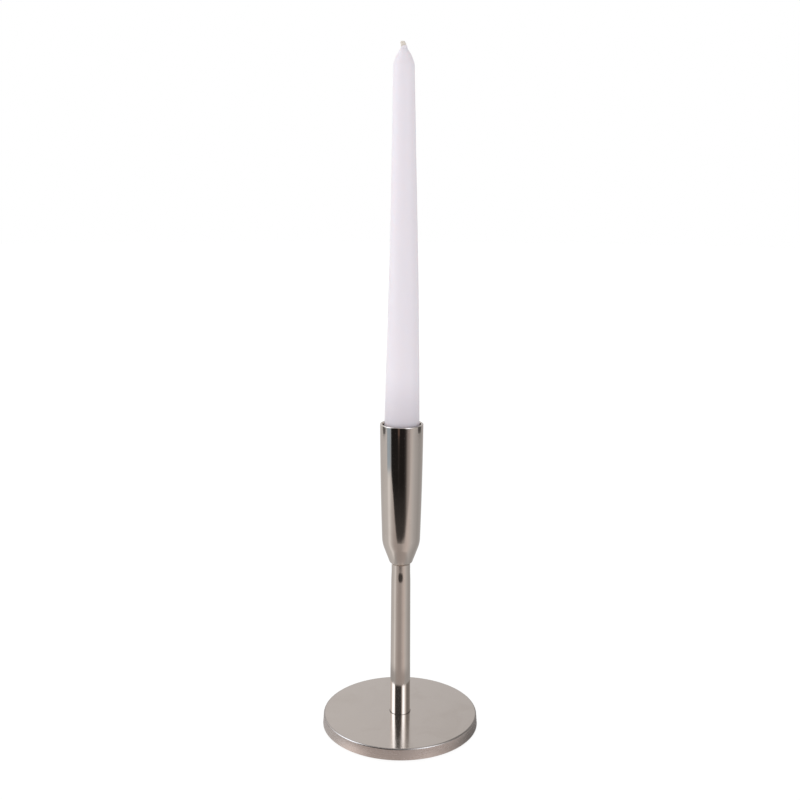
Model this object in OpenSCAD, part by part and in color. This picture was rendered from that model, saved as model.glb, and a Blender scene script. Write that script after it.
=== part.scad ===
// Candlestick for one dinner candle: a round base plate, a slender tapered stem
// and a tall cup, clamped together by one long bolt, with a candle standing in
// the cup on a pressed seat. Lengths are millimetres and +Z is up. The origin is
// the centre of the underside of the felt pad, where the candlestick stands.

/* [Candlestick] */
// Height of the cup's rim above the table
total_h = 200; // [180:1:210]
// Diameter of the base plate
base_d = 100; // [96:1:120]
// Thickness of the base plate
base_t = 7.5; // [7.5:0.5:12]

/* [Stem] */
// Diameter of the stem where it stands in the base
stem_foot_d = 13; // [12.6:0.1:13.4]
// Diameter that the stem loses on its way up to the cup
stem_taper = 1.2; // [0.6:0.1:1.6]

/* [Cup] */
// Height of the cup
cup_h = 89.7; // [80:0.1:100]
// Outside diameter of the cup at its rim
cup_rim_d = 26.8; // [26.6:0.1:28]
// Thickness of the cup's wall
cup_wall = 1.4; // [1.2:0.1:1.4]
// Depth of the candle's seat below the rim
seat_depth = 29.5; // [20:0.5:40]

/* [Candle] */
// Length of the candle's wax
candle_len = 250; // [150:5:300]
// Diameter of the candle's foot
candle_foot_d = 22.7; // [20:0.1:22.7]
// Diameter of the candle where its pointed tip begins
candle_top_d = 12.5; // [11.8:0.1:14]

/* [Hidden] */
$fn = 96;

// How far a hole's cutter reaches past the faces that it cuts
past = 1;

// Felt pad under the base, set in from the base's edge
pad_inset = 4;
pad_d = base_d - 2 * pad_inset;
pad_t = 1.2;

// Base plate: a slight draft, a broken bottom edge and a rounded top edge
base_z = pad_t;
base_top_z = base_z + base_t;
base_draft = 0.5;
base_break = 0.4;
base_round_r = 1;

// Shallow recess in the base plate that centres the stem
recess_d = 13.7;
recess_depth = 0.6;

// M6 bolt, nut and washers
bolt_d = 6;
thread_r = 2.95;
thread_root_r = 2.45;
thread_pitch = 1;
thread_play = 0.06;
clear_d = 6.6;
hex_across_flats = 10;
hex_chamfer = 0.7;
head_h = 4;
head_gap = 0.2;
nut_h = 5;
washer_hole_d = 6.4;
base_washer_d = 12;
base_washer_t = 1;
cup_washer_d = 11;
cup_washer_t = 1.6;
lock_washer_d = 11.6;
lock_washer_hole_d = 6.2;
lock_washer_t = 1.6;
lock_washer_slit = 1.2;
rings_below_nut = 4;
rings_past_nut = 3;

// Counterbore under the base for the bolt's head and washer
sink_d = 16;
sink_depth = head_gap + head_h + base_washer_t;
sink_top_z = base_z + sink_depth;

// Stem between the recess and the cup
stem_z = base_top_z - recess_depth;
cup_z = total_h - cup_h;
stem_h = cup_z - stem_z;
stem_foot_chamfer = 0.4;
stem_top_chamfer = 0.9;

// Straight neck below the cup, the short flare under it and its share of the taper
neck_h = 5;
flare_h = 8;
flare_share = 0.28;

// Value held between 0 and 1
function share(v) = min(max(v, 0), 1);

// Radius of the stem at height z
function stem_r(z) =
    let (
        below = cup_z - neck_h - z,
        flare = share(below / flare_h),
        eased = flare * flare * (3 - 2 * flare),
        straight = share(below / (stem_h - neck_h))
    )
    stem_foot_d / 2 - stem_taper / 2 * (1 - flare_share * eased - (1 - flare_share) * straight);

// Cup: a leaning, slightly curved side, a round shoulder, a cone and a small corner
cup_lean = 0.006;
cup_curve = 0.00018;
cup_floor_t = 2.5;
cup_cone_a = 20.5;
cup_corner_r = 1.2;
shoulder_r = 20;
shoulder_h = 16.2;
shoulder_z = cup_z + shoulder_h;
lip_r = 0.45;

// Radius of the cup's outside at height z, above the shoulder
function cup_side_r(z) =
    cup_rim_d / 2 - cup_lean * (total_h - z) - cup_curve * pow(total_h - z, 2);

// Point at angle a on a circle; the angle is measured downwards from the +X side
function on_circle(centre, r, a) = centre + r * [cos(a), -sin(a)];

// Arc of points from angle a0 to angle a1
function arc(centre, r, a0, a1, steps = 8) =
    [for (i = [0:steps]) on_circle(centre, r, a0 + (a1 - a0) * i / steps)];

shoulder_a = atan(cup_lean + 2 * cup_curve * (total_h - shoulder_z));
shoulder_c = [cup_side_r(shoulder_z), shoulder_z] - shoulder_r * [cos(shoulder_a), -sin(shoulder_a)];
cone_top = on_circle(shoulder_c, shoulder_r, cup_cone_a);
inner_cone_top = on_circle(shoulder_c, shoulder_r - cup_wall, cup_cone_a);
cup_floor_z = cup_z + cup_floor_t;
corner_z = cup_z + cup_corner_r * (1 - sin(cup_cone_a));
corner_c = [
    cone_top[0] - (cone_top[1] - corner_z) * tan(cup_cone_a) - cup_corner_r * cos(cup_cone_a),
    cup_z + cup_corner_r
];
inner_floor_r = inner_cone_top[0] - (inner_cone_top[1] - cup_floor_z) * tan(cup_cone_a);

// Stack of washers and nut on the cup's floor
lock_washer_z = cup_floor_z + cup_washer_t;
nut_z = lock_washer_z + lock_washer_t;
nut_top_z = nut_z + nut_h;
bolt_z = base_z + head_gap;
thread_z = nut_z - rings_below_nut * thread_pitch;
nut_rings = nut_h / thread_pitch;
bolt_rings = rings_below_nut + nut_rings + rings_past_nut;
bolt_end_z = thread_z + bolt_rings * thread_pitch;

// Candle seat: a pressed cap with a skirt
seat_z = total_h - seat_depth;
seat_t = 1;
seat_skirt_h = 7;
seat_skirt_t = 0.8;
seat_play = 0.02;
seat_bend_r = 1.2;

// Candle: its belly is how far the taper eases in and out, 0 being straight
wick_d = 2;
candle_top_z = seat_z + candle_len;
candle_belly = 0.15;
foot_round_r = 0.8;
tip_h = 8;
tip_r = 19.5;
tip_start_a = 11;
tip_end_a = asin(sin(tip_start_a) + tip_h / tip_r);
collar_r = 2.1;
collar_h = 1.1;

// Wick above the wax: a stub that leans towards -X
stub_r = 1.9;
stub_bend_r = 7;
stub_bend_a = 30;

// Radius of the candle's side, t running from 0 at the foot to 1 below the tip
function candle_side_r(t) =
    let (ease = (1 - candle_belly) * t + candle_belly * (1 - cos(180 * t)) / 2)
    (candle_foot_d - (candle_foot_d - candle_top_d) * ease) / 2;

// Turns an outline of [radius, height] points about the Z axis
module turned(outline) {
    rotate_extrude() polygon(outline);
}

// Cylinder on the Z axis, standing at height z; subtracted, it is a hole
module rod(d, z, h) {
    translate([0, 0, z]) cylinder(d = d, h = h);
}

// Flat ring standing at height z
module ring(d, hole_d, z, h) {
    difference() {
        rod(d, z, h);
        rod(hole_d, z - past, h + 2 * past);
    }
}

// Crests and roots of a thread, drawn as rings, up from height z
function thread_outline(z, rings, play = 0) = [
    for (i = [0:rings - 1])
        each [
            [thread_root_r + play, z + i * thread_pitch],
            [thread_r + play, z + (i + 0.5) * thread_pitch]
        ]
];

// Hexagon of bolt head or nut, with its corners broken at the chosen ends
module hexagon(z, h, break_bottom, break_top) {
    corner_r = hex_across_flats / 2 / cos(30);
    flat_r = corner_r - hex_chamfer;
    slope_h = hex_chamfer * tan(30);
    intersection() {
        translate([0, 0, z]) cylinder(r = corner_r, h = h, $fn = 6);
        turned([
            [0, z],
            [break_bottom ? flat_r : corner_r, z],
            [corner_r, z + (break_bottom ? slope_h : 0)],
            [corner_r, z + h - (break_top ? slope_h : 0)],
            [break_top ? flat_r : corner_r, z + h],
            [0, z + h]
        ]);
    }
}

module felt_pad() {
    color("#3a3a3c") rod(pad_d, 0, pad_t);
}

module base_plate() {
    edge_r = base_d / 2;
    round_c = [edge_r - base_draft - base_round_r, base_top_z - base_round_r];
    color("#b4aca6") difference() {
        turned(concat(
            [[0, base_z], [edge_r - base_break, base_z], [edge_r, base_z + base_break]],
            arc(round_c, base_round_r, 0, -90, 6),
            [[0, base_top_z]]
        ));
        rod(recess_d, stem_z, recess_depth + past);
        rod(clear_d, base_z - past, base_t + 2 * past);
        rod(sink_d, base_z - past, sink_depth + past);
    }
}

module tie_bolt() {
    shank_z = bolt_z + head_h / 2;
    color("#c9c7be") union() {
        hexagon(bolt_z, head_h, true, false);
        turned(concat(
            [[0, shank_z], [bolt_d / 2, shank_z], [bolt_d / 2, thread_z - thread_pitch / 2]],
            thread_outline(thread_z, bolt_rings),
            [[thread_root_r, bolt_end_z], [0, bolt_end_z]]
        ));
    }
}

module base_washer() {
    color("#c9c7be") ring(base_washer_d, washer_hole_d, sink_top_z - base_washer_t, base_washer_t);
}

module stem() {
    flare_steps = 6;
    neck_z = cup_z - neck_h;
    heights = [
        for (i = [0:flare_steps])
            neck_z - flare_h + i * flare_h / flare_steps
    ];
    color("#b4aca6") difference() {
        turned(concat(
            [[0, stem_z], [stem_r(stem_z) - stem_foot_chamfer, stem_z]],
            [[stem_r(stem_z), stem_z + stem_foot_chamfer]],
            [for (z = heights) [stem_r(z), z]],
            [[stem_r(cup_z), cup_z - stem_top_chamfer]],
            [[stem_r(cup_z) - stem_top_chamfer, cup_z], [0, cup_z]]
        ));
        rod(clear_d, stem_z - past, stem_h + 2 * past);
    }
}

module cup_shell() {
    steps = 12;
    side_z = [for (i = [1:steps]) shoulder_z + (total_h - lip_r - shoulder_z) * i / steps];
    rim_r = cup_rim_d / 2;
    color("#b4aca6") difference() {
        turned(concat(
            [[0, cup_z]],
            arc(corner_c, cup_corner_r, 90, cup_cone_a),
            arc(shoulder_c, shoulder_r, cup_cone_a, shoulder_a),
            [for (z = side_z) [cup_side_r(z), z]],
            arc([rim_r - lip_r, total_h - lip_r], lip_r, -15, -90, 5),
            arc([rim_r - cup_wall + lip_r, total_h - lip_r], lip_r, -90, -165, 5),
            [for (i = [steps - 1:-1:0]) [cup_side_r(side_z[i]) - cup_wall, side_z[i]]],
            arc(shoulder_c, shoulder_r - cup_wall, shoulder_a, cup_cone_a),
            [[inner_floor_r, cup_floor_z], [0, cup_floor_z]]
        ));
        rod(clear_d, cup_z - past, cup_floor_t + 2 * past);
    }
}

module cup_washer() {
    color("#c9c7be") ring(cup_washer_d, washer_hole_d, cup_floor_z, cup_washer_t);
}

module lock_washer() {
    color("#c9c7be") difference() {
        ring(lock_washer_d, lock_washer_hole_d, lock_washer_z, lock_washer_t);
        translate([lock_washer_d / 4, 0, lock_washer_z + lock_washer_t / 2])
            cube([lock_washer_d, lock_washer_slit, lock_washer_t + 2 * past], center = true);
    }
}

module cup_nut() {
    color("#c9c7be") difference() {
        hexagon(nut_z, nut_h, true, true);
        turned(concat(
            [[0, nut_z - thread_pitch]],
            thread_outline(nut_z - thread_pitch, nut_rings + 2, thread_play),
            [[thread_root_r, nut_top_z + thread_pitch], [0, nut_top_z + thread_pitch]]
        ));
    }
}

// Radius of the seat's outside, which follows the taper of the cup's bore
function seat_r(z) = cup_side_r(z) - cup_wall - seat_play;

module candle_seat() {
    foot_z = seat_z - seat_skirt_h;
    bend_c = [seat_r(seat_z) - seat_bend_r, seat_z - seat_bend_r];
    inner_bend_r = seat_bend_r - seat_skirt_t;
    color("#c9c7be") turned(concat(
        [[0, seat_z - seat_t], [bend_c[0], seat_z - seat_t]],
        arc([bend_c[0], seat_z - seat_t - inner_bend_r], inner_bend_r, -90, 0, 4),
        [[seat_r(foot_z) - seat_skirt_t, foot_z], [seat_r(foot_z), foot_z]],
        arc(bend_c, seat_bend_r, 0, -90, 6),
        [[0, seat_z]]
    ));
}

module candle() {
    steps = 24;
    side_h = candle_len - tip_h;
    start_t = foot_round_r / side_h;
    tip_z = candle_top_z - tip_h;
    tip_c = [candle_top_d / 2 - tip_r * cos(tip_start_a), tip_z - tip_r * sin(tip_start_a)];
    side = [
        for (i = [0:steps])
            let (t = start_t + (1 - start_t) * i / steps)
            [candle_side_r(t), seat_z + t * side_h]
    ];
    color("#eeebf0") difference() {
        turned(concat(
            [[0, seat_z]],
            arc([candle_side_r(0) - foot_round_r, seat_z + foot_round_r], foot_round_r, 90, 10, 5),
            side,
            arc(tip_c, tip_r, -tip_start_a, -tip_end_a, 7),
            [[collar_r, candle_top_z + collar_h], [0, candle_top_z + collar_h]]
        ));
        rod(wick_d, seat_z - past, candle_len + collar_h + 2 * past);
    }
}

module wick() {
    bend_z = candle_top_z + collar_h;
    color("#e8ddd0") union() {
        rod(wick_d, seat_z, bend_z - seat_z);
        translate([-stub_bend_r, 0, bend_z]) rotate([90, 0, 0])
            rotate_extrude(angle = stub_bend_a) translate([stub_bend_r, 0]) circle(r = stub_r);
    }
}

felt_pad();
base_plate();
tie_bolt();
base_washer();
stem();
cup_shell();
cup_washer();
lock_washer();
cup_nut();
candle_seat();
candle();
wick();
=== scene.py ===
"""Looks of a candlestick and its dinner candle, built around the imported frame.

Lengths are metres, +Z is up and -Y is the front. MM turns millimetres into metres.
"""

import math

import bmesh
import bpy
from mathutils import Matrix, Vector, noise


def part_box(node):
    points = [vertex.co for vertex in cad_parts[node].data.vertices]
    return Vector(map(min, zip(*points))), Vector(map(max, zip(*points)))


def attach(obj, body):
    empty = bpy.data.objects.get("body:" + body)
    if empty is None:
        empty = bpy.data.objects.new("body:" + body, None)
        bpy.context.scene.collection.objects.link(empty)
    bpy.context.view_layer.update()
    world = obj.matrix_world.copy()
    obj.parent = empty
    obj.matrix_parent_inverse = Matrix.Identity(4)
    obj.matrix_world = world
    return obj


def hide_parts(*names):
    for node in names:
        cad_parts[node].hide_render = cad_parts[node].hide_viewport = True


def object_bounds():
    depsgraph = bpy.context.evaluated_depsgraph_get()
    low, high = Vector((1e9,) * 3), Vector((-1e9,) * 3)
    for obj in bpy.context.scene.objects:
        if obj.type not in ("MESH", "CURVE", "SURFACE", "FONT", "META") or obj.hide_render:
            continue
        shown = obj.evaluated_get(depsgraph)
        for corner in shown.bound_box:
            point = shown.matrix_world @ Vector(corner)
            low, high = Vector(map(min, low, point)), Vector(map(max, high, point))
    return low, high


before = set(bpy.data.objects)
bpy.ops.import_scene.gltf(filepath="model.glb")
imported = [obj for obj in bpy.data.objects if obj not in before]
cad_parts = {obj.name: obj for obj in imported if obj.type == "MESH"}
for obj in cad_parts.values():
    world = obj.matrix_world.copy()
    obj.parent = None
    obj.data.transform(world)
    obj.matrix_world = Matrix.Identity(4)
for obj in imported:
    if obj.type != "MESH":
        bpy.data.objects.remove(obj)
cad_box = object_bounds()

MM = 0.001
FULL_TURN = 2 * math.pi

# Height of the cup's rim, and how far above it and how strongly the wax is darkened there by painted
# shade from the cup's rim
RIM_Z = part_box("cup_shell")[1].z
RIM_SHADE_REACH = 34 * MM
RIM_SHADE_SHARE = 0.75

# Fineness of the meshes
TURN_STEPS = 192
WAX_STEPS = 96
SMOOTH_ANGLE = math.radians(30)

# Camera: where it stands, how far it looks down, its small lean and its lens
CAMERA_PLACE = (-1.17 * MM, -650 * MM, 344.3 * MM)
CAMERA_DOWN = math.radians(11.27)
CAMERA_LEAN = math.radians(0.323)
CAMERA_LENS = 48.55

# Light tent round the candlestick: degrees round from the front, towards +X, and brightness.
# In front, from -58 to +15 degrees, the tent is open and the dark room shows.
TENT_TOP = 3.0
TENT_RING = [
    (-180, 0.67), (-150, 0.80), (-112, 1.2), (-96, 2.9), (-70, 2.9), (-58, 0.12),
    (-50, 0.08), (6, 0.08), (15, 0.28), (26.7, 1.9), (36, 3.0), (43, 2.8), (51, 2.2), (64, 1.06),
    (78.6, 0.39), (94, 0.33), (113, 0.33), (138, 0.47), (180, 0.67),
]
CEILING = 0.71
CEILING_FROM = math.sin(math.radians(52))
CEILING_TO = math.sin(math.radians(66))

# Table inside the tent, as polished metal mirrors it: degrees round and brightness
TABLE_RING = [
    (-180, 0.62), (-130, 0.60), (-104, 0.67), (-90, 0.68), (-83, 0.75), (-76, 0.91),
    (-70, 0.91), (-63, 0.77), (-57, 0.64), (-45, 0.52), (-20, 0.42), (0, 0.43), (20, 0.60),
    (40, 0.72), (60, 0.66), (80, 0.53), (107, 0.43), (130, 0.44), (150, 0.50), (180, 0.62),
]
# The table under the cup, how much of it shows, and where it fades out
UNDER_CUP = 0.42
UNDER_SHARE = 0.85
UNDER_REACH = (0.08, 0.10)
# The table close to the base, and where that fades out
FOOT_RING = [
    (-180, 0.50), (-90, 0.50), (-62, 0.54), (-43, 0.90), (-24, 0.50), (0, 0.45),
    (23, 0.62), (41, 0.42), (59, 0.24), (71, 0.18), (110, 0.24), (180, 0.50),
]
FOOT_REACH = (0.060, 0.066)
# The room beyond the table's front edge: dark, with a pale panel on the left
ROOM_RING = [
    (-180, 0.62), (-124, 0.62), (-117, 0.16), (-97, 0.16), (-90, 0.70), (-83, 0.52),
    (-59.5, 0.47), (-56.5, 0.02), (-40, 0.018), (10, 0.018), (14, 0.02), (20, 0.045),
    (25, 0.09), (30, 0.26), (36, 0.365), (42, 0.45), (48, 0.58), (54, 0.64), (70, 0.62),
    (90, 0.60), (98, 0.10), (120, 0.10), (128, 0.60), (180, 0.60),
]
# How far away that edge is: degrees round and distance
TABLE_REACH = 1.2
TABLE_EDGE = [
    (-180, TABLE_REACH), (-124, TABLE_REACH), (-117, 0.80), (-97, 0.80), (-90, TABLE_REACH),
    (-84, 0.58), (-58, 0.58), (-56, 0.55), (-44, 0.442), (-37.5, 0.376), (-27, 0.318),
    (-20, 0.293), (0, 0.290), (17, 0.285), (23, 0.30), (29, 0.33), (35, 0.36), (41, 0.40),
    (47, 0.44), (54, 0.60), (62, TABLE_REACH), (90, TABLE_REACH), (98, 0.82), (120, 0.82),
    (128, TABLE_REACH), (180, TABLE_REACH),
]
# Narrow warm streak in the dark room: its middle and half width in degrees, and brightness
STREAK_AT = -15.0
STREAK_HALF = 7.0
STREAK_LIGHT = 0.16
# Pale panel in the room, on the left: its middle and half width in degrees
PANEL_AT = -72.0
PANEL_HALF = 26.0

# Soft light on the wax, felt and cotton, from the left side to the right
SOFT_LEFT = 1.10
SOFT_RIGHT = 0.58

# Stage pieces: how far they reach, and how far they lie under the felt
STAGE_REACH = 6.0
FLOOR_SINK = 0.02 * MM
MIRRORED_SINK = 0.05 * MM


# ---------------------------------------------------------------- node helpers


def add(tree, kind, inputs=None, **settings):
    """New shader node; settings are its own properties, inputs fill or link its sockets."""
    made = tree.nodes.new("ShaderNode" + kind)
    for key, value in settings.items():
        setattr(made, key, value)
    for key, value in (inputs or {}).items():
        if isinstance(value, bpy.types.NodeSocket):
            tree.links.new(value, made.inputs[key])
        else:
            made.inputs[key].default_value = value
    return made


def maths(tree, operation, *values, clamp=False):
    """Output of a Math node on one to three numbers or sockets."""
    return add(tree, "Math", dict(enumerate(values)), operation=operation, use_clamp=clamp).outputs[0]


def span(tree, value, low, high, to_low=0.0, to_high=1.0, smooth=False):
    """A value mapped from low..high to to_low..to_high, and held at the ends."""
    kind = "SMOOTHSTEP" if smooth else "LINEAR"
    fills = {"Value": value, "From Min": low, "From Max": high, "To Min": to_low, "To Max": to_high}
    return add(tree, "MapRange", fills, interpolation_type=kind).outputs["Result"]


def mixed(tree, mask, first, second):
    """Number that goes from first to second as the mask rises."""
    return add(tree, "Mix", {0: mask, 2: first, 3: second}).outputs[0]


def blend_colours(tree, mask, first, second):
    """Colour that goes from first to second as the mask rises."""
    return add(tree, "Mix", {0: mask, 6: first, 7: second}, data_type="RGBA").outputs[2]


def ramp_round(tree, degrees, stops, top):
    """Brightness at an angle round the candlestick, from (degrees, brightness) stops."""
    share = span(tree, degrees, -180.0, 180.0)
    ramp = add(tree, "ValToRGB", {"Fac": share})
    band = ramp.color_ramp.elements
    while len(band) < len(stops):
        band.new(1.0)
    for element, (angle, value) in zip(band, stops):
        element.position = (angle + 180) / 360
        element.color = (value / top, value / top, value / top, 1)
    return maths(tree, "MULTIPLY", ramp.outputs["Color"], top)


def degrees_round(tree, x, y):
    """Degrees round from the front (-Y), towards +X."""
    front = maths(tree, "MULTIPLY", y, -1.0)
    return maths(tree, "DEGREES", maths(tree, "ARCTAN2", x, front))


def new_material(name):
    """Material with one Principled shader; returns it, its tree and the shader."""
    made = bpy.data.materials.new(name)
    made.use_nodes = True
    shader = made.node_tree.nodes["Principled BSDF"]
    return made, made.node_tree, shader


def fill(tree, shader, **inputs):
    """Fills or links a shader's sockets, named with _ for a space."""
    for key, value in inputs.items():
        socket = shader.inputs[key.replace("_", " ")]
        if isinstance(value, bpy.types.NodeSocket):
            tree.links.new(value, socket)
        else:
            socket.default_value = value


def effect(name, inputs, outputs):
    """Empty node group with named number sockets; returns its tree, its start and its end."""
    tree = bpy.data.node_groups.new(name, "ShaderNodeTree")
    for label, value in inputs.items():
        socket = tree.interface.new_socket(name=label, in_out="INPUT", socket_type="NodeSocketFloat")
        socket.default_value = value
    for label in outputs:
        tree.interface.new_socket(name=label, in_out="OUTPUT", socket_type="NodeSocketFloat")
    return tree, tree.nodes.new("NodeGroupInput"), tree.nodes.new("NodeGroupOutput")


def place(tree, group, **values):
    """The effect placed in a material with its own values."""
    made = tree.nodes.new("ShaderNodeGroup")
    made.node_tree = group
    for key, value in values.items():
        made.inputs[key.replace("_", " ")].default_value = value
    return made


# ---------------------------------------------------------------- shared effects


def make_turned_lines():
    """Fine lines that run round the axis, as turning and polishing leave them."""
    tree, start, end = effect("turned_lines", {"Fineness": 4000.0, "Breaks": 3.0}, ["Mask"])
    at = add(tree, "TexCoord").outputs["Object"]
    parts = add(tree, "SeparateXYZ", {0: at}).outputs
    flat = add(tree, "CombineXYZ", {0: parts[0], 1: parts[1]}).outputs[0]
    radius = add(tree, "VectorMath", {0: flat}, operation="LENGTH").outputs["Value"]
    heading = add(tree, "VectorMath", {0: flat}, operation="NORMALIZE").outputs["Vector"]
    turned = add(tree, "VectorMath", {0: heading, "Scale": start.outputs["Breaks"]}, operation="SCALE")
    across = maths(tree, "MULTIPLY", maths(tree, "ADD", radius, parts[2]), start.outputs["Fineness"])
    lift = add(tree, "CombineXYZ", {2: across}).outputs[0]
    where = add(tree, "VectorMath", {0: turned.outputs["Vector"], 1: lift}, operation="ADD")
    lines = add(tree, "TexNoise", {"Vector": where.outputs["Vector"], "Scale": 1.0, "Detail": 4.0,
                                   "Roughness": 0.7})
    tree.links.new(span(tree, lines.outputs["Fac"], 0.3, 0.7), end.inputs["Mask"])
    return tree


def make_soft_wave():
    """Broad, shallow waves of a surface that was polished by hand."""
    tree, start, end = effect("soft_wave", {"Scale": 60.0}, ["Height"])
    at = add(tree, "TexCoord").outputs["Object"]
    wave = add(tree, "TexNoise", {"Vector": at, "Scale": start.outputs["Scale"], "Detail": 1.0,
                                  "Roughness": 0.3})
    tree.links.new(wave.outputs["Fac"], end.inputs["Height"])
    return tree


def make_haze():
    """Cloudy patches, where handling has left a film."""
    tree, start, end = effect("haze", {"Scale": 40.0, "Cover": 0.5}, ["Mask"])
    at = add(tree, "TexCoord").outputs["Object"]
    cloud = add(tree, "TexNoise", {"Vector": at, "Scale": start.outputs["Scale"], "Detail": 6.0,
                                   "Roughness": 0.6, "Distortion": 0.6})
    low = maths(tree, "SUBTRACT", 1.0, start.outputs["Cover"])
    high = maths(tree, "ADD", low, 0.25)
    tree.links.new(span(tree, cloud.outputs["Fac"], low, high, smooth=True), end.inputs["Mask"])
    return tree


def make_specks():
    """Small scattered spots, of uneven size."""
    tree, start, end = effect("specks", {"Scale": 300.0, "Size": 0.12, "Share": 0.3}, ["Mask"])
    at = add(tree, "TexCoord").outputs["Object"]
    cells = add(tree, "TexVoronoi", {"Vector": at, "Scale": start.outputs["Scale"], "Randomness": 1.0})
    chance = add(tree, "SeparateColor", {0: cells.outputs["Color"]}).outputs[0]
    chosen = maths(tree, "LESS_THAN", chance, start.outputs["Share"])
    near = span(tree, cells.outputs["Distance"], 0.0, start.outputs["Size"], 1.0, 0.0, smooth=True)
    tree.links.new(maths(tree, "MULTIPLY", chosen, near), end.inputs["Mask"])
    return tree


def make_fibres():
    """Matted or spun fibres, stretched along Z by Stretch."""
    tree, start, end = effect("fibres", {"Scale": 2500.0, "Stretch": 1.0}, ["Mask"])
    at = add(tree, "TexCoord").outputs["Object"]
    squeeze = add(tree, "CombineXYZ", {0: 1.0, 1: 1.0, 2: start.outputs["Stretch"]}).outputs[0]
    where = add(tree, "VectorMath", {0: at, 1: squeeze}, operation="MULTIPLY").outputs["Vector"]
    mat = add(tree, "TexNoise", {"Vector": where, "Scale": start.outputs["Scale"], "Detail": 5.0,
                                 "Roughness": 0.75, "Distortion": 1.5})
    tree.links.new(span(tree, mat.outputs["Fac"], 0.3, 0.7), end.inputs["Mask"])
    return tree


TURNED_LINES = make_turned_lines()
SOFT_WAVE = make_soft_wave()
HAZE = make_haze()
SPECKS = make_specks()
FIBRES = make_fibres()


# ---------------------------------------------------------------- materials


def bump(tree, height, depth, under=None):
    """Normal of a surface whose height, 0 to 1, stands for depth metres."""
    fills = {"Height": height, "Distance": depth, "Strength": 1.0}
    if under is not None:
        fills["Normal"] = under
    return add(tree, "Bump", fills).outputs["Normal"]


def nickel(name, smooth, rough, fineness, line_depth, wave_depth, tint=(0.66, 0.605, 0.556)):
    """Plated nickel: roughness from smooth to rough, turned lines and a faint hand-polished wave."""
    made, tree, shader = new_material(name)
    lines = place(tree, TURNED_LINES, Fineness=fineness, Breaks=2.5).outputs["Mask"]
    film = place(tree, HAZE, Scale=45.0, Cover=0.52).outputs["Mask"]
    wave = place(tree, SOFT_WAVE, Scale=70.0).outputs["Height"]
    pits = place(tree, SPECKS, Scale=420.0, Size=0.10, Share=0.06).outputs["Mask"]
    bare = (*tint, 1)
    dull = (tint[0] * 0.955, tint[1] * 0.95, tint[2] * 0.945, 1)
    dark = (tint[0] * 0.6, tint[1] * 0.58, tint[2] * 0.56, 1)
    colour = blend_colours(tree, film, bare, dull)
    colour = blend_colours(tree, maths(tree, "MULTIPLY", pits, 0.35), colour, dark)
    roughness = span(tree, maths(tree, "ADD", maths(tree, "MULTIPLY", lines, 0.4),
                                 maths(tree, "MULTIPLY", film, 0.6)), 0.0, 1.0, smooth, rough)
    normal = bump(tree, wave, wave_depth)
    normal = bump(tree, lines, line_depth, normal)
    fill(tree, shader, Base_Color=colour, Metallic=1.0, Roughness=roughness, Normal=normal)
    return made


def zinc_steel():
    """Zinc-plated steel of the bolt, its nut and washers and the candle seat."""
    made, tree, shader = new_material("zinc_steel")
    film = place(tree, HAZE, Scale=260.0, Cover=0.5).outputs["Mask"]
    lines = place(tree, TURNED_LINES, Fineness=6000.0, Breaks=4.0).outputs["Mask"]
    pits = place(tree, SPECKS, Scale=900.0, Size=0.2, Share=0.25).outputs["Mask"]
    colour = blend_colours(tree, film, (0.56, 0.57, 0.58, 1), (0.50, 0.49, 0.45, 1))
    colour = blend_colours(tree, maths(tree, "MULTIPLY", pits, 0.4), colour, (0.3, 0.3, 0.3, 1))
    roughness = span(tree, film, 0.0, 1.0, 0.28, 0.42)
    fill(tree, shader, Base_Color=colour, Metallic=1.0, Roughness=roughness,
         Normal=bump(tree, lines, 0.004 * MM))
    return made


def wax(name, depth):
    """Cast candle wax: milky, faintly lilac, satin, with a few specks, and darkened low down by painted
    shade from the cup's rim.

    Light sinks in by depth.
    """
    made, tree, shader = new_material(name)
    cloud = place(tree, HAZE, Scale=28.0, Cover=0.5).outputs["Mask"]
    dirt = place(tree, SPECKS, Scale=150.0, Size=0.11, Share=0.035).outputs["Mask"]
    pores = place(tree, SPECKS, Scale=520.0, Size=0.2, Share=0.12).outputs["Mask"]
    wave = place(tree, SOFT_WAVE, Scale=120.0).outputs["Height"]
    colour = blend_colours(tree, cloud, (0.865, 0.818, 0.870, 1), (0.842, 0.794, 0.846, 1))
    height = add(tree, "SeparateXYZ", {0: add(tree, "TexCoord").outputs["Object"]}).outputs[2]
    # Painted shade: the wax is darkened below the cup's rim and fades out a little above it
    rim_shade = span(tree, height, RIM_Z, RIM_Z + RIM_SHADE_REACH, RIM_SHADE_SHARE, 0.0, smooth=True)
    colour = blend_colours(tree, rim_shade, colour, (0.66, 0.62, 0.665, 1))
    colour = blend_colours(tree, maths(tree, "MULTIPLY", dirt, 0.5), colour, (0.42, 0.39, 0.41, 1))
    roughness = span(tree, cloud, 0.0, 1.0, 0.42, 0.55)
    normal = bump(tree, wave, 0.10 * MM)
    normal = bump(tree, pores, -0.02 * MM, normal)
    fill(tree, shader, Base_Color=colour, Roughness=roughness, Normal=normal, IOR=1.44,
         Subsurface_Weight=0.6 if depth else 0.0, Subsurface_Radius=(1.0, 0.85, 0.8),
         Subsurface_Scale=depth, Specular_IOR_Level=0.35)
    return made


def cotton():
    """Undyed cotton of the wick, a little stained by wax."""
    made, tree, shader = new_material("cotton_wick")
    yarn = place(tree, FIBRES, Scale=2600.0, Stretch=0.35).outputs["Mask"]
    stain = place(tree, HAZE, Scale=420.0, Cover=0.5).outputs["Mask"]
    colour = blend_colours(tree, yarn, (0.70, 0.64, 0.57, 1), (0.90, 0.83, 0.75, 1))
    colour = blend_colours(tree, maths(tree, "MULTIPLY", stain, 0.5), colour, (0.60, 0.55, 0.52, 1))
    fill(tree, shader, Base_Color=colour, Roughness=0.85, Normal=bump(tree, yarn, 0.08 * MM),
         Sheen_Weight=0.25, Specular_IOR_Level=0.2)
    return made


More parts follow.
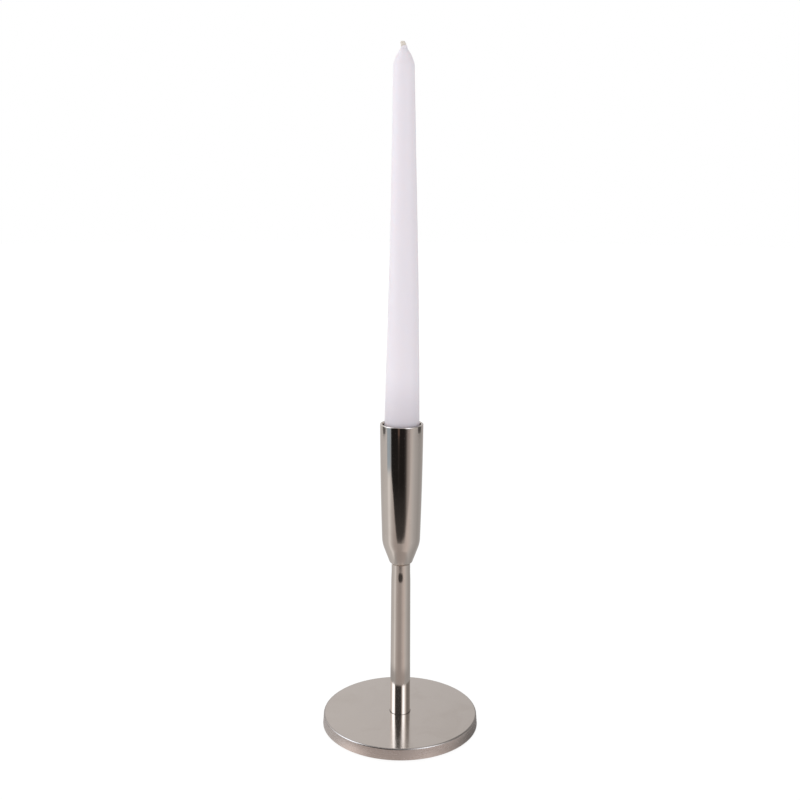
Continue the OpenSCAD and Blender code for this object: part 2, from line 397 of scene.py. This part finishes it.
def felt():
    """Charcoal wool felt: matted fibres, with a few pale ones."""
    made, tree, shader = new_material("felt")
    matted = place(tree, FIBRES, Scale=1500.0, Stretch=1.0).outputs["Mask"]
    pale = place(tree, SPECKS, Scale=1400.0, Size=0.16, Share=0.1).outputs["Mask"]
    worn = place(tree, HAZE, Scale=50.0, Cover=0.5).outputs["Mask"]
    colour = blend_colours(tree, matted, (0.014, 0.014, 0.016, 1), (0.048, 0.047, 0.05, 1))
    colour = blend_colours(tree, maths(tree, "MULTIPLY", pale, 0.5), colour, (0.18, 0.175, 0.17, 1))
    colour = blend_colours(tree, maths(tree, "MULTIPLY", worn, 0.2), colour, (0.07, 0.068, 0.066, 1))
    fill(tree, shader, Base_Color=colour, Roughness=0.95, Normal=bump(tree, matted, 0.25 * MM),
         Sheen_Weight=0.4, Specular_IOR_Level=0.15)
    return made


# ---------------------------------------------------------------- mesh helpers


def on_arc(centre, radius, start, end, steps):
    """Points of an arc of a turned outline; angles in degrees, from outwards (0) to up (90)."""
    angles = [math.radians(start + (end - start) * i / steps) for i in range(steps + 1)]
    return [(centre[0] + radius * math.cos(a), centre[1] + radius * math.sin(a)) for a in angles]


def turned(name, outline, steps=TURN_STEPS):
    """Mesh turned about Z from a closed loop of (radius, height) points, none on the axis."""
    mesh = bmesh.new()
    rings = []
    for i in range(steps):
        c, s = math.cos(FULL_TURN * i / steps), math.sin(FULL_TURN * i / steps)
        rings.append([mesh.verts.new((r * c, r * s, z)) for r, z in outline])
    for i, ring in enumerate(rings):
        beside = rings[(i + 1) % steps]
        for j in range(len(outline)):
            k = (j + 1) % len(outline)
            mesh.faces.new((ring[j], beside[j], beside[k], ring[k]))
    return finished(name, mesh)


def finished(name, mesh):
    """Object made from a closed bmesh, with outward normals and smooth shading."""
    bmesh.ops.recalc_face_normals(mesh, faces=mesh.faces)
    data = bpy.data.meshes.new(name)
    mesh.to_mesh(data)
    mesh.free()
    data.polygons.foreach_set("use_smooth", [True] * len(data.polygons))
    data.set_sharp_from_angle(angle=SMOOTH_ANGLE)
    made = bpy.data.objects.new(name, data)
    bpy.context.scene.collection.objects.link(made)
    return made


def dress(piece, body, slot, materials, *nodes):
    """Gives a piece its materials and its body, and hides the CAD nodes that it stands for; the slot is
    not used.
    """
    for material in materials:
        piece.data.materials.append(material)
    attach(piece, body)
    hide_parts(*nodes)
    return piece


# ---------------------------------------------------------------- metal pieces


def make_base_plate():
    """Heavy round plate with a slight draft, a rounded top edge and its bolt holes."""
    low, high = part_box("base_plate")
    edge, bottom, top = high.x, low.z, high.z
    recess_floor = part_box("stem")[0].z
    sink_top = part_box("base_washer")[1].z
    draft, broken, round_r = 0.5 * MM, 0.4 * MM, 1.0 * MM
    bore, sink, recess = 3.3 * MM, 8.0 * MM, 6.85 * MM
    corner = (edge - draft - round_r, top - round_r)
    outline = [(bore, sink_top), (sink, sink_top), (sink, bottom)]
    outline += [(edge - broken, bottom), (edge, bottom + broken)]
    outline += on_arc(corner, round_r, 0, 90, 8)
    outline += [(recess, top), (recess, recess_floor), (bore, recess_floor)]
    piece = turned("base_plate_turned", outline)
    piece_materials = [
        nickel("nickel_base_top", 0.11, 0.19, 3500, 0.0006 * MM, 0.004 * MM),
        nickel("nickel_base_side", 0.26, 0.36, 1800, 0.0012 * MM, 0.006 * MM, (0.71, 0.64, 0.60)),
        # The rounded top edge gets a darker copy of the nickel: painted shade that dims its reflections
        nickel("nickel_base_edge_painted_shade", 0.22, 0.30, 1800, 0.001 * MM, 0.006 * MM, (0.42, 0.385, 0.36)),
    ]
    dress(piece, "candlestick", "nickel_plate", piece_materials, "base_plate")
    top_place, side_place, edge_place = range(3)
    edge_low, edge_high = corner[1] + round_r * 0.25, corner[1] + round_r * 0.97
    for face in piece.data.polygons:
        at = face.center.z
        low_place = edge_place if at > edge_low else side_place
        face.material_index = top_place if at > edge_high else low_place
    return piece


def make_stem(polished):
    """Slender tube: a slow taper, a short flare and a straight neck below the cup."""
    low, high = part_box("stem")
    foot, taper = high.x, 0.6 * MM
    chamfer_low, chamfer_high, bore = 0.4 * MM, 0.9 * MM, 3.3 * MM
    neck_h, flare_h, flare_share = 5 * MM, 8 * MM, 0.28
    taper_steps, flare_steps = 6, 16

    def stem_r(z):
        below = high.z - neck_h - z
        flare = min(max(below / flare_h, 0), 1)
        straight = min(max(below / (high.z - low.z - neck_h), 0), 1)
        eased = flare * flare * (3 - 2 * flare)
        return foot - taper * (1 - flare_share * eased - (1 - flare_share) * straight)

    neck_z = high.z - neck_h
    taper_z = low.z + chamfer_low
    taper_h = neck_z - flare_h - low.z - chamfer_low
    heights = [taper_z + taper_h * i / taper_steps for i in range(taper_steps)]
    heights += [neck_z - flare_h + flare_h * i / flare_steps for i in range(flare_steps + 1)]
    outline = [(bore, low.z), (foot - chamfer_low, low.z)]
    outline += [(stem_r(z), z) for z in heights]
    outline += [(foot - taper, high.z - chamfer_high), (foot - taper - chamfer_high, high.z)]
    outline += [(bore, high.z)]
    piece = turned("stem_tube", outline)
    return dress(piece, "candlestick", "nickel_plate", [polished], "stem")


def make_cup(polished):
    """Deep round cup: nearly straight side, soft shoulder, cone and a small corner."""
    low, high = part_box("cup_shell")
    rim, top, bottom = high.x, high.z, low.z
    wall, floor, lip, bore = 1.4 * MM, 2.5 * MM, 0.45 * MM, 3.3 * MM
    lean, curve = 0.006, 0.18
    cone, corner_r, shoulder_r = 20.5, 1.2 * MM, 20 * MM
    shoulder_z = bottom + 16.2 * MM

    def side_r(z):
        return rim - lean * (top - z) - curve * (top - z) ** 2

    bend = math.degrees(math.atan(lean + 2 * curve * (top - shoulder_z)))
    slope = math.radians(cone)
    centre = (side_r(shoulder_z) - shoulder_r * math.cos(math.radians(bend)),
              shoulder_z + shoulder_r * math.sin(math.radians(bend)))
    cone_top = (centre[0] + shoulder_r * math.cos(slope), centre[1] - shoulder_r * math.sin(slope))
    corner_z = bottom + corner_r * (1 - math.sin(slope))
    corner = (cone_top[0] - (cone_top[1] - corner_z) * math.tan(slope) - corner_r * math.cos(slope),
              bottom + corner_r)
    inner_top = (cone_top[0] - wall * math.cos(slope), cone_top[1] + wall * math.sin(slope))
    floor_z = bottom + floor
    floor_r = inner_top[0] - (inner_top[1] - floor_z) * math.tan(slope)
    steps = 16
    heights = [shoulder_z + (top - lip - shoulder_z) * i / steps for i in range(1, steps + 1)]

    outline = [(bore, bottom)]
    outline += on_arc(corner, corner_r, -90, -cone, 8)
    outline += on_arc(centre, shoulder_r, -cone, -bend, 10)
    outline += [(side_r(z), z) for z in heights]
    outline += on_arc((rim - lip, top - lip), lip, 15, 90, 6)
    outline += on_arc((rim - wall + lip, top - lip), lip, 90, 165, 6)
    outline += [(side_r(z) - wall, z) for z in reversed(heights[:-1])]
    outline += on_arc(centre, shoulder_r - wall, -bend, -cone, 10)
    outline += [(floor_r, floor_z), (bore, floor_z)]
    piece = turned("cup_spun", outline)
    return dress(piece, "candlestick", "nickel_plate", [polished], "cup_shell")


# ---------------------------------------------------------------- candle and wick


CANDLE_FOOT, CANDLE_TIP = (corner.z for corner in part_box("candle"))
BOW_MOST = 0.65 * MM


def bow(z):
    """How far the candle bends towards +X at height z."""
    share = min(max((z - CANDLE_FOOT) / (CANDLE_TIP - CANDLE_FOOT), 0), 1)
    return BOW_MOST * math.sin(math.pi * share) ** 1.5


def make_candle(wax_material):
    """Dinner candle: a slow taper, a pointed tip and a nipple of wax round the wick."""
    low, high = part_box("candle")
    bore, foot_round = 1.0 * MM, 0.8 * MM
    foot_r, top_r = high.x, 6.25 * MM
    collar_r, collar_h = 2.1 * MM, 1.1 * MM
    tip_h, tip_r, tip_start, belly = 8 * MM, 19.5 * MM, 11, 0.15
    steps, tip_steps = 90, 12
    swell_h, swell_round, swell_up = 0.10 * MM, 90, 45
    wax_top = high.z - collar_h
    side_h = wax_top - low.z - tip_h

    def side_r(t):
        ease = (1 - belly) * t + belly * (1 - math.cos(math.pi * t)) / 2
        return foot_r - (foot_r - top_r) * ease

    start = foot_round / side_h
    outline = [(bore, low.z)]
    outline += on_arc((side_r(0) - foot_round, low.z + foot_round), foot_round, -90, -10, 6)
    shares = [start + (1 - start) * i / steps for i in range(steps + 1)]
    outline += [(side_r(t), low.z + t * side_h) for t in shares]
    start_sine = math.sin(math.radians(tip_start))
    tip_end = math.degrees(math.asin(start_sine + tip_h / tip_r))
    tip_centre = (top_r - tip_r * math.cos(math.radians(tip_start)), wax_top - tip_h - tip_r * start_sine)
    tip_first = tip_start + (tip_end - tip_start) / tip_steps
    outline += on_arc(tip_centre, tip_r, tip_first, tip_end, tip_steps - 1)
    outline += [(collar_r, high.z), (bore, high.z)]
    piece = turned("candle_wax", outline, WAX_STEPS)
    for point in piece.data.vertices:
        at = point.co
        where = Vector((at.x * swell_round, at.y * swell_round, at.z * swell_up))
        swell = noise.noise(where) * swell_h
        radius = math.hypot(at.x, at.y)
        if radius > 2 * bore:
            at.x += at.x / radius * swell
            at.y += at.y / radius * swell
        at.x += bow(at.z)
    return dress(piece, "candle", "wax", [wax_material], "candle")


def tube_along(mesh, centres, radii, sides):
    """Closed tube through the centres, with a radius at each."""
    rings = []
    for i, centre in enumerate(centres):
        ahead = centres[min(i + 1, len(centres) - 1)] - centres[max(i - 1, 0)]
        across = ahead.cross(Vector((0, 1, 0))).normalized()
        beside = ahead.cross(across).normalized()
        turn = [FULL_TURN * k / sides for k in range(sides)]
        rings.append([mesh.verts.new(centre + radii[i] * (across * math.cos(a) + beside * math.sin(a)))
                      for a in turn])
    for ring, above in zip(rings, rings[1:]):
        for k in range(sides):
            mesh.faces.new((ring[k], ring[(k + 1) % sides], above[(k + 1) % sides], above[k]))
    mesh.faces.new(rings[0])
    mesh.faces.new(rings[-1])


def wick_line(share, bend_z):
    """Middle of the wick's stub, from where it leaves the wax (0) to its end (1)."""
    bend_r, bend_a = 8.2 * MM, math.radians(28)
    angle = bend_a * share
    return Vector((-bend_r * (1 - math.cos(angle)), 0, bend_z + bend_r * math.sin(angle)))


def make_wick(cotton_material):
    """Braid of three strands that stands out of the wax and leans towards -X."""
    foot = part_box("wick")[0].z
    bend_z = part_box("candle")[1].z
    sink, core_r, core_steps = 4 * MM, 0.95 * MM, 12
    swing, depth, strand_r = 0.92 * MM, 0.55 * MM, 0.80 * MM
    turns, steps, sides = 1.6, 44, 12
    start, end = -0.9, 1.0
    mesh = bmesh.new()
    core_h = bend_z - sink - foot
    heights = [foot + core_h * i / core_steps for i in range(core_steps + 1)]
    tube_along(mesh, [Vector((bow(z), 0, z)) for z in heights], [core_r] * len(heights), 16)
    for strand in range(3):
        centres, radii = [], []
        for i in range(steps + 1):
            share = i / steps
            travel = start + (end - start) * share
            middle = wick_line(travel, bend_z) if travel > 0 else Vector((0, 0, bend_z + travel * sink))
            tight = 0.45 if travel < -0.4 else 1 - 0.35 * max(travel, 0) ** 2
            phase = FULL_TURN * (turns * share + strand / 3)
            sway = Vector((swing * math.sin(phase), depth * math.sin(2 * phase), 0))
            centres.append(middle + sway * tight)
            radii.append(strand_r * (0.4 if i in (0, steps) else 1.0) * min(1.0, tight + 0.2))
        tube_along(mesh, centres, radii, sides)
    piece = finished("wick_braid", mesh)
    return dress(piece, "candle", "cotton_wick", [cotton_material], "wick")


def make_wick_wax(wax_material):
    """Skin of wax that runs a little way up the wick, highest on its +X side."""
    bend_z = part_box("candle")[1].z
    skin_r, climb, steps, sides = 1.85 * MM, 0.55, 14, 28
    skirt = [(-1.0, 2.3), (0.0, 2.1), (0.5, 1.95), (0.9, 1.5), (1.1, 0.9)]
    mesh = bmesh.new()
    centres, radii = [], []
    for i in range(steps + 1):
        share = i / steps
        thin = math.sqrt(max(1 - share ** 2, 0.02))
        aside = (0.05 + 0.9 * share) * MM
        centres.append(wick_line(share * climb, bend_z) + Vector((aside, -0.2 * aside, 0)))
        radii.append(skin_r * thin)
    tube_along(mesh, centres, radii, sides)
    tube_along(mesh, [Vector((0, 0, bend_z + z * MM)) for z, r in skirt],
               [r * MM for z, r in skirt], sides)
    piece = finished("wick_wax_skin", mesh)
    return dress(piece, "candle", "wax", [wax_material])


# ---------------------------------------------------------------- felt pad


def make_felt_pad(felt_material):
    """Round of felt under the base, with a soft, slightly uneven cut edge."""
    low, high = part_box("felt_pad")
    radius, thick = high.x, high.z - low.z
    steps, rings = 180, 22
    set_in, bulge, fray, fray_round = 0.2 * MM, 0.12 * MM, 0.18 * MM, 24
    mesh = bmesh.new()
    spokes = []
    for i in range(steps):
        angle = FULL_TURN * i / steps
        heading = Vector((math.cos(angle), math.sin(angle), 0))
        reach = radius - set_in + noise.noise(heading * fray_round) * fray
        column = [(reach * j / rings, low.z) for j in range(1, rings + 1)]
        column += [(reach + bulge, low.z + thick * 0.3), (reach + bulge, low.z + thick * 0.7)]
        column += [(reach * j / rings, high.z) for j in range(rings, 0, -1)]
        spokes.append([mesh.verts.new(heading * r + Vector((0, 0, z))) for r, z in column])
    for i, spoke in enumerate(spokes):
        beside = spokes[(i + 1) % steps]
        for j in range(len(spoke) - 1):
            mesh.faces.new((spoke[j], beside[j], beside[j + 1], spoke[j + 1]))
    for end, z in ((0, low.z), (-1, high.z)):
        middle = mesh.verts.new((0, 0, z))
        for i, spoke in enumerate(spokes):
            mesh.faces.new((middle, spoke[end], spokes[(i + 1) % steps][end]))
    piece = finished("felt_round", mesh)
    dress(piece, "candlestick", "felt", [felt_material], "felt_pad")
    return piece


# ---------------------------------------------------------------- studio


def stage_disc(name, height, reach, material):
    """Flat round stage piece round the candlestick."""
    mesh = bmesh.new()
    bmesh.ops.create_circle(mesh, cap_ends=True, segments=64, radius=reach)
    data = bpy.data.meshes.new(name)
    mesh.to_mesh(data)
    mesh.free()
    made = bpy.data.objects.new(name, data)
    made.location.z = height
    bpy.context.scene.collection.objects.link(made)
    data.materials.append(material)
    return made


def floor_material():
    """White sweep that shows from above only, with the faintest of contact shadows."""
    made, tree, shader = new_material("white_floor")
    fill(tree, shader, Base_Color=(0.12, 0.12, 0.12, 1), Roughness=1.0, Specular_IOR_Level=0.0,
         Emission_Color=(1, 1, 1, 1), Emission_Strength=0.93)
    clear = add(tree, "BsdfTransparent").outputs[0]
    under = add(tree, "NewGeometry").outputs["Backfacing"]
    both = add(tree, "MixShader", {0: under, 1: shader.outputs[0], 2: clear})
    tree.links.new(both.outputs[0], tree.nodes["Material Output"].inputs["Surface"])
    made.cycles.emission_sampling = "NONE"
    return made


def soft_band(tree, value, middle, half_width):
    """Mask that is 1 in the middle of a band and fades to 0 at half_width from it."""
    off = maths(tree, "ABSOLUTE", maths(tree, "SUBTRACT", value, middle))
    return span(tree, off, 0.0, half_width, 1.0, 0.0, smooth=True)


def mirrored_table_material():
    """Table as the metal mirrors it: brightness by direction, and the dark room past its edge."""
    made, tree, shader = new_material("mirrored_table")
    parts = add(tree, "SeparateXYZ", {0: add(tree, "NewGeometry").outputs["Position"]}).outputs
    around = degrees_round(tree, parts[0], parts[1])
    far = maths(tree, "SQRT", maths(tree, "ADD", maths(tree, "MULTIPLY", parts[0], parts[0]),
                                    maths(tree, "MULTIPLY", parts[1], parts[1])))
    near_foot = span(tree, far, *FOOT_REACH, 1.0, 0.0, smooth=True)
    edge = ramp_round(tree, around, TABLE_EDGE, TABLE_REACH)
    softness = span(tree, around, 0.0, 18.0, 0.022, 0.07)
    gone = span(tree, maths(tree, "SUBTRACT", far, edge), 0.0, softness, smooth=True)

    under = span(tree, far, *UNDER_REACH, UNDER_SHARE, 0.0, smooth=True)
    table = mixed(tree, under, ramp_round(tree, around, TABLE_RING, 1.0), UNDER_CUP)
    table = mixed(tree, near_foot, table, ramp_round(tree, around, FOOT_RING, 1.0))
    glow = span(tree, far, 0.30, 0.52, 0.045, 0.0)
    room = maths(tree, "ADD", ramp_round(tree, around, ROOM_RING, 1.0), glow)
    lit_end = maths(tree, "ADD", span(tree, far, 0.74, 0.84, 0.0, 0.85),
                    span(tree, far, 0.45, 0.7, 0.0, 0.15))
    streak = maths(tree, "MULTIPLY", soft_band(tree, around, STREAK_AT, STREAK_HALF), lit_end)
    streak = maths(tree, "MULTIPLY", streak, gone)
    room = maths(tree, "ADD", room, maths(tree, "MULTIPLY", streak, STREAK_LIGHT))
    light = mixed(tree, gone, table, room)

    front = span(tree, maths(tree, "ABSOLUTE", around), 30.0, 75.0, 1.0, 0.0, smooth=True)
    tint = blend_colours(tree, front, (1, 0.975, 0.965, 1), (1, 0.895, 0.853, 1))
    panel = maths(tree, "MULTIPLY", soft_band(tree, around, PANEL_AT, PANEL_HALF), gone)
    tint = blend_colours(tree, panel, tint, (0.82, 1.0, 1.16, 1))
    tint = blend_colours(tree, streak, tint, (1, 0.60, 0.46, 1))
    fill(tree, shader, Base_Color=(0, 0, 0, 1), Specular_IOR_Level=0.0, Roughness=1.0,
         Emission_Color=tint, Emission_Strength=light)
    made.cycles.emission_sampling = "NONE"
    return made


def make_stage():
    """White floor for the eye, and the mirrored table for the metal."""
    ground = cad_box[0].z
    floor = stage_disc("floor", ground - FLOOR_SINK, STAGE_REACH, floor_material())
    floor.visible_glossy = False
    table = stage_disc("mirrored_table", ground - MIRRORED_SINK, STAGE_REACH,
                       mirrored_table_material())
    table.visible_camera = False
    table.visible_diffuse = False
    table.visible_transmission = False
    table.visible_shadow = False


def make_world():
    """Soft light from all round, and the tent that the metal mirrors."""
    world = bpy.data.worlds.new("light_tent")
    world.use_nodes = True
    world.cycles.sampling_method = "NONE"
    bpy.context.scene.world = world
    tree = world.node_tree
    tree.nodes.clear()
    parts = add(tree, "SeparateXYZ", {0: add(tree, "TexCoord").outputs["Generated"]}).outputs
    around = degrees_round(tree, parts[0], parts[1])
    ring = ramp_round(tree, around, TENT_RING, TENT_TOP)
    up = span(tree, parts[2], CEILING_FROM, CEILING_TO, smooth=True)
    tent = maths(tree, "ADD", maths(tree, "MULTIPLY", ring, maths(tree, "SUBTRACT", 1.0, up)),
                 maths(tree, "MULTIPLY", up, CEILING))
    soft = span(tree, parts[0], -1.0, 1.0, SOFT_LEFT, SOFT_RIGHT)
    path = add(tree, "LightPath").outputs
    panels = span(tree, tent, 0.9, 2.4)
    cast = blend_colours(tree, panels, (1, 0.98, 0.985, 1), (0.92, 1.0, 1.12, 1))
    mirrored = add(tree, "Background", {"Color": cast, "Strength": tent}).outputs[0]
    lit = add(tree, "Background", {"Color": soft, "Strength": 1.0}).outputs[0]
    seen = add(tree, "Background", {"Color": (1, 1, 1, 1), "Strength": 1.0}).outputs[0]
    inside = add(tree, "MixShader", {0: path["Is Glossy Ray"], 1: lit, 2: mirrored}).outputs[0]
    whole = add(tree, "MixShader", {0: path["Is Camera Ray"], 1: inside, 2: seen}).outputs[0]
    end = add(tree, "OutputWorld", {"Surface": whole})
    end.is_active_output = True


def make_camera():
    """Camera in front, a little above the rim and looking down."""
    data = bpy.data.cameras.new("camera")
    data.lens = CAMERA_LENS
    data.clip_start = 0.01
    camera = bpy.data.objects.new("camera", data)
    camera.matrix_world = (Matrix.Translation(CAMERA_PLACE)
                           @ Matrix.Rotation(math.pi / 2 - CAMERA_DOWN, 4, "X")
                           @ Matrix.Rotation(CAMERA_LEAN, 4, "Z"))
    bpy.context.scene.collection.objects.link(camera)
    bpy.context.scene.camera = camera
    bpy.context.scene.view_settings.view_transform = "Standard"


def paint_hardware():
    """The bolt, washers, nut and seat keep their CAD shapes and get zinc-plated steel."""
    plated = zinc_steel()
    for name in ("tie_bolt", "base_washer", "cup_washer", "lock_washer", "cup_nut", "candle_seat"):
        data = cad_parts[name].data
        data.materials.clear()
        data.materials.append(plated)


make_camera()
make_world()
make_stage()
polished_nickel = nickel("nickel_polished", 0.07, 0.12, 5000, 0.0004 * MM, 0.004 * MM)
make_base_plate()
make_stem(polished_nickel)
make_cup(polished_nickel)
paint_hardware()
make_candle(wax("wax", 1.6 * MM))
make_wick(cotton())
make_wick_wax(wax("wax_skin", 0.0))
make_felt_pad(felt())
